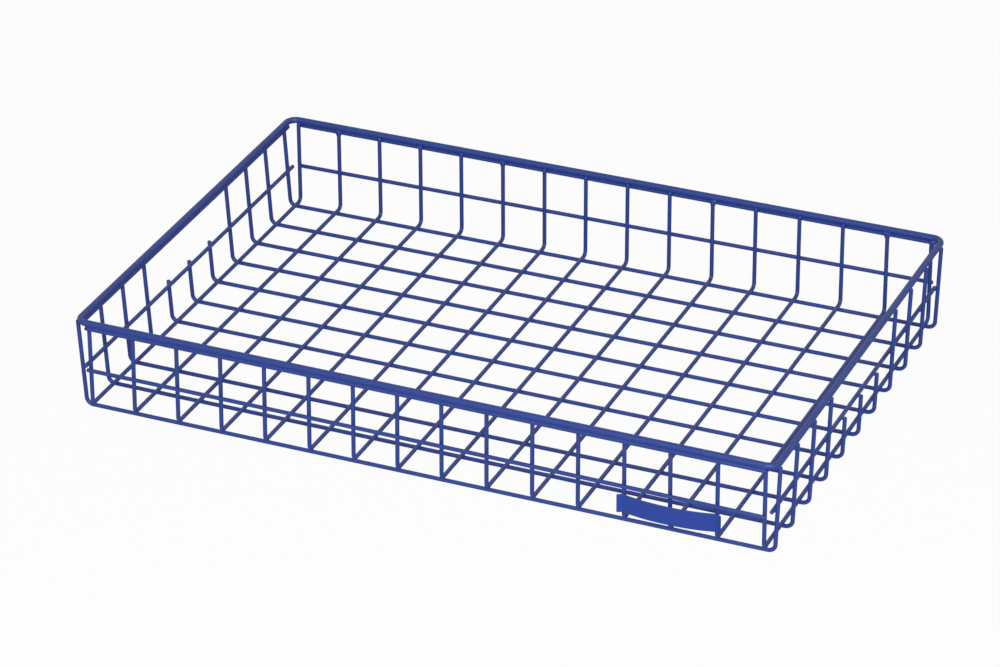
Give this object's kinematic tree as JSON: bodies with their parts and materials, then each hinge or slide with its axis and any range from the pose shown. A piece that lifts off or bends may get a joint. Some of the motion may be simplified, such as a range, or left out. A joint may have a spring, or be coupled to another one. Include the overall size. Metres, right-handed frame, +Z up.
{
  "type": "wire tray",
  "caption": "Shallow rectangular tray of welded square wire mesh with bent-up walls, a round rod rim, a hand-hold in each end wall and a bare bowed label plate.",
  "frame": {"origin": "under the middle of the tray, on the surface that it stands on", "axes": "+X along the long walls, to the right of someone facing the label plate; +Y from the front wall, which carries the label plate, to the back wall; +Z up out of the open top"},
  "size_m": [0.5978, 0.4039, 0.0841],
  "materials": {
    "coated_wire": "smooth blue coating over steel wire",
    "coated_rod": "smooth blue coating over steel rod",
    "coated_plate": "smooth blue coating over sheet steel"
  },
  "bodies": {
    "root": {"long_wire_01": "coated_wire", "long_wire_02": "coated_wire", "long_wire_03": "coated_wire", "long_wire_04": "coated_wire", "long_wire_05": "coated_wire", "long_wire_06": "coated_wire", "long_wire_07": "coated_wire", "long_wire_08": "coated_wire", "long_wire_09": "coated_wire", "long_wire_10": "coated_wire", "long_wire_11": "coated_wire", "cross_wire_01": "coated_wire", "cross_wire_02": "coated_wire", "cross_wire_03": "coated_wire", "cross_wire_04": "coated_wire", "cross_wire_05": "coated_wire", "cross_wire_06": "coated_wire", "cross_wire_07": "coated_wire", "cross_wire_08": "coated_wire", "cross_wire_09": "coated_wire", "cross_wire_10": "coated_wire", "cross_wire_11": "coated_wire", "cross_wire_12": "coated_wire", "cross_wire_13": "coated_wire", "cross_wire_14": "coated_wire", "cross_wire_15": "coated_wire", "cross_wire_16": "coated_wire", "front_rail": "coated_wire", "back_rail": "coated_wire", "left_rail": "coated_wire", "right_rail": "coated_wire", "front_top_wire": "coated_wire", "back_top_wire": "coated_wire", "left_top_wire": "coated_wire", "right_top_wire": "coated_wire", "rim_rod": "coated_rod", "label_plate": "coated_plate"}
  },
  "joints": []
}
